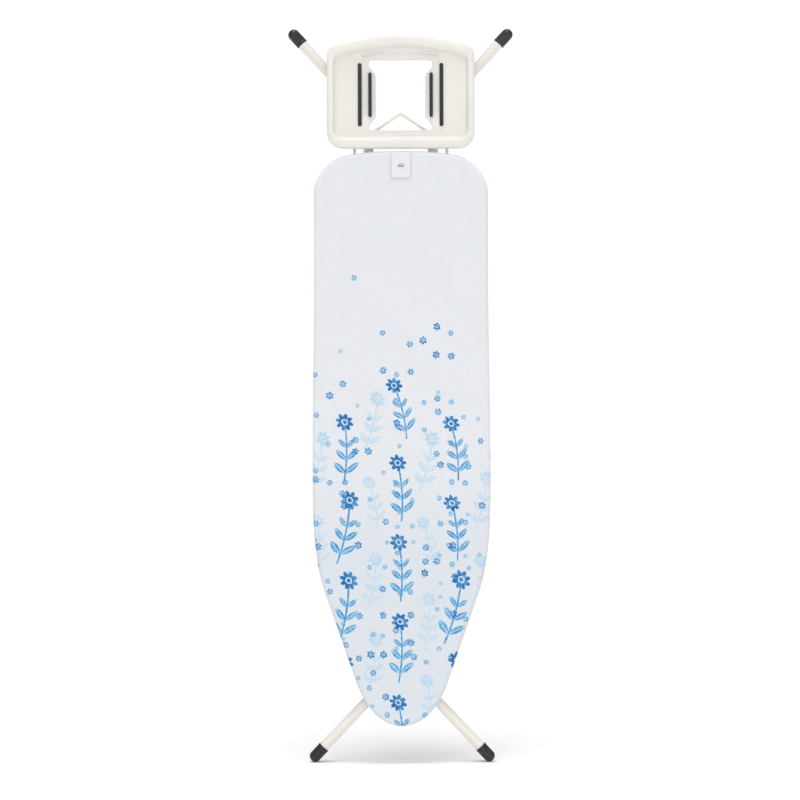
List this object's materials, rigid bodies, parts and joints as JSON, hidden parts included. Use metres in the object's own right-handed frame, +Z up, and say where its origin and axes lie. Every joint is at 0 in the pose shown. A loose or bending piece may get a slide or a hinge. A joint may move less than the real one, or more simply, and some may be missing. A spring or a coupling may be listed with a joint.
{
  "type": "ironing board",
  "caption": "Folding ironing board with printed cotton cover, wire-carried iron rest, scissor legs and height lock, folded flat.",
  "frame": {"origin": "on the floor under the middle of the folded board, which stands on its nose-end feet", "axes": "+Z up along the board from nose to iron rest, -Y out of the ironing face, X across the board"},
  "size_m": [0.487, 0.056, 1.5891],
  "materials": {
    "cotton_cover": "white cotton with a blue print",
    "foam": "soft foam",
    "label": "white woven tag",
    "deck_steel": "grey powder coat",
    "ivory_coat": "ivory powder coat",
    "ivory_plastic": "moulded ivory plastic",
    "silicone": "black silicone",
    "foot_plastic": "dark blue-grey plastic",
    "zinc_steel": "zinc plated",
    "nylon": "natural nylon",
    "lever_plastic": "dark plastic grip"
  },
  "bodies": {
    "deck": {"deck_sheet": "deck_steel", "foam_pad": "foam", "deck_rim": "ivory_coat", "ironing_cover": "cotton_cover", "care_label": "label", "cross_brace_top": "ivory_coat", "cross_brace_middle": "ivory_coat", "cross_brace_nose": "ivory_coat", "hinge_bracket_left": "zinc_steel", "hinge_bracket_right": "zinc_steel", "hinge_pin_left": "zinc_steel", "hinge_pin_right": "zinc_steel", "guide_rail_left": "zinc_steel", "guide_rail_right": "zinc_steel", "lever_block_left": "nylon", "lever_block_right": "nylon", "iron_rest_tray": "ivory_plastic", "silicone_strip_outer_left": "silicone", "silicone_strip_outer_right": "silicone", "silicone_strip_inner_left": "silicone", "silicone_strip_inner_right": "silicone", "rest_wire_frame": "ivory_coat", "rest_wire_brace": "ivory_coat", "rest_clip_lower_left": "ivory_plastic", "rest_clip_lower_right": "ivory_plastic", "rest_clip_upper_left": "ivory_plastic", "rest_clip_upper_right": "ivory_plastic", "wire_clamp_left": "zinc_steel", "wire_clamp_right": "zinc_steel", "clamp_screw_inner_left": "zinc_steel", "clamp_screw_inner_right": "zinc_steel", "clamp_screw_outer_left": "zinc_steel", "clamp_screw_outer_right": "zinc_steel", "hook_pin": "zinc_steel"},
    "outer_leg": {"outer_leg_tube_left": "ivory_coat", "outer_leg_tube_right": "ivory_coat", "outer_leg_cross_tube": "ivory_coat", "outer_foot_cap_left": "foot_plastic", "outer_foot_cap_right": "foot_plastic", "pivot_rivet_left": "zinc_steel", "pivot_rivet_right": "zinc_steel", "pivot_washer_left": "nylon", "pivot_washer_right": "nylon"},
    "inner_leg": {"inner_leg_tube_left": "ivory_coat", "inner_leg_tube_right": "ivory_coat", "inner_leg_cross_tube": "ivory_coat", "inner_foot_cap_left": "foot_plastic", "inner_foot_cap_right": "foot_plastic", "slide_bar": "zinc_steel", "slide_spacer_left": "nylon", "slide_spacer_right": "nylon"},
    "height_latch": {"latch_rack": "zinc_steel", "latch_spring": "zinc_steel"},
    "release_lever": {"lever_shaft": "zinc_steel", "lever_loop": "zinc_steel", "lever_finger": "zinc_steel", "lever_grip": "lever_plastic"},
    "transport_lock": {"transport_hook": "zinc_steel"}
  },
  "joints": [
    {"name": "leg_fold", "type": "hinge", "parent": "deck", "child": "outer_leg", "pos_m": [0, 0.015, 0.45404], "axis": [-1, 0, 0], "range_deg": [0, 55]},
    {"name": "scissor_pivot", "type": "hinge", "parent": "outer_leg", "child": "inner_leg", "pos_m": [0, 0.015, 0.79457], "axis": [1, 0, 0], "range_deg": [0, 110]},
    {"name": "lever_swing", "type": "hinge", "parent": "deck", "child": "release_lever", "pos_m": [0, -0.011, 1.195], "axis": [-1, 0, 0], "range_deg": [0, 25]},
    {"name": "latch_lift", "type": "slide", "parent": "deck", "child": "height_latch", "axis": [0, 1, 0], "range_m": [0, 0.008]},
    {"name": "hook_swing", "type": "hinge", "parent": "deck", "child": "transport_lock", "pos_m": [0, 0.002, 1.162], "axis": [-1, 0, 0], "range_deg": [0, 130]}
  ],
  "couplings": [
    {"joint": "scissor_pivot", "follows": "leg_fold", "ratio": 2},
    {"joint": "latch_lift", "follows": "lever_swing", "m_per_rad": 0.018335}
  ]
}
